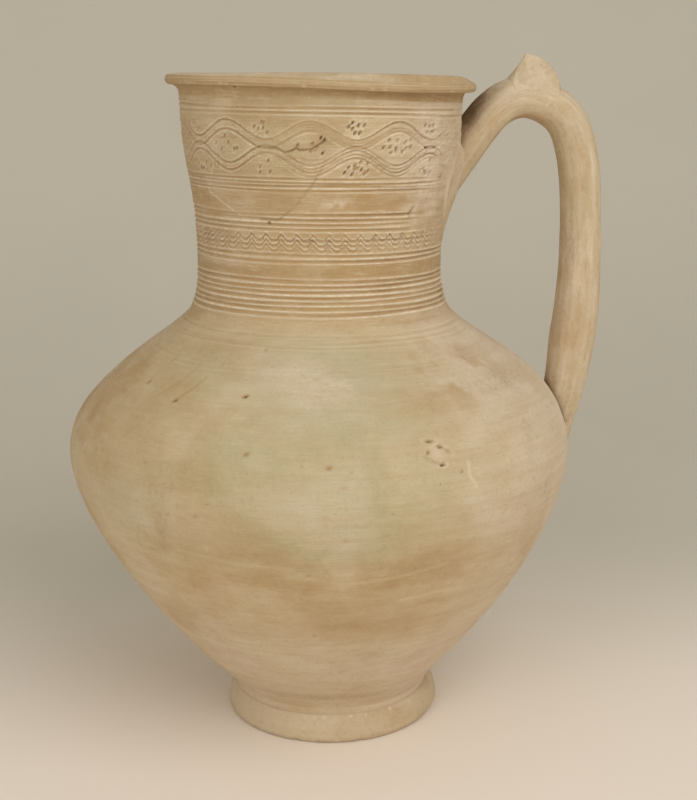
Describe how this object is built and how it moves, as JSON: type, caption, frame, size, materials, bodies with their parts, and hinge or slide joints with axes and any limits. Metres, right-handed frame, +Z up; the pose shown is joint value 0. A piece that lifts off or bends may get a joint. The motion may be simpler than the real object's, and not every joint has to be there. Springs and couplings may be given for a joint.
{
  "type": "ewer",
  "caption": "Unglazed clay ewer: a round-shouldered body on a disc foot, a wide neck with an everted lip and combed bands, and a rod handle with a thumb rest.",
  "frame": {"origin": "on the vessel's axis, in the plane that the foot stands on", "axes": "+Z up along the vessel's axis, +X towards the handle, -Y towards the viewer of the decorated front"},
  "size_m": [0.2467, 0.23, 0.3073],
  "materials": {
    "foot_clay": "unglazed buff clay, worn round the standing edge",
    "body_clay": "unglazed buff clay, wiped on the wheel, with greenish and ochre patches",
    "shoulder_clay": "unglazed buff clay, finely combed, with greenish and ochre patches",
    "neck_clay": "unglazed pinkish buff clay with incised ornament",
    "sherd_clay": "unglazed greenish buff clay with incised ornament, more weathered",
    "handle_clay": "unglazed pinkish buff clay, smoothed by hand",
    "thumb_clay": "unglazed pinkish buff clay, pinched by hand",
    "luting_clay": "unglazed pinkish buff clay, smeared by hand"
  },
  "bodies": {
    "root": {"foot_disc": "foot_clay", "lower_body": "body_clay", "shoulder": "shoulder_clay", "neck": "neck_clay", "neck_sherd": "sherd_clay", "handle": "handle_clay", "thumb_rest": "thumb_clay", "upper_luting": "luting_clay", "lower_luting": "luting_clay"}
  },
  "joints": []
}
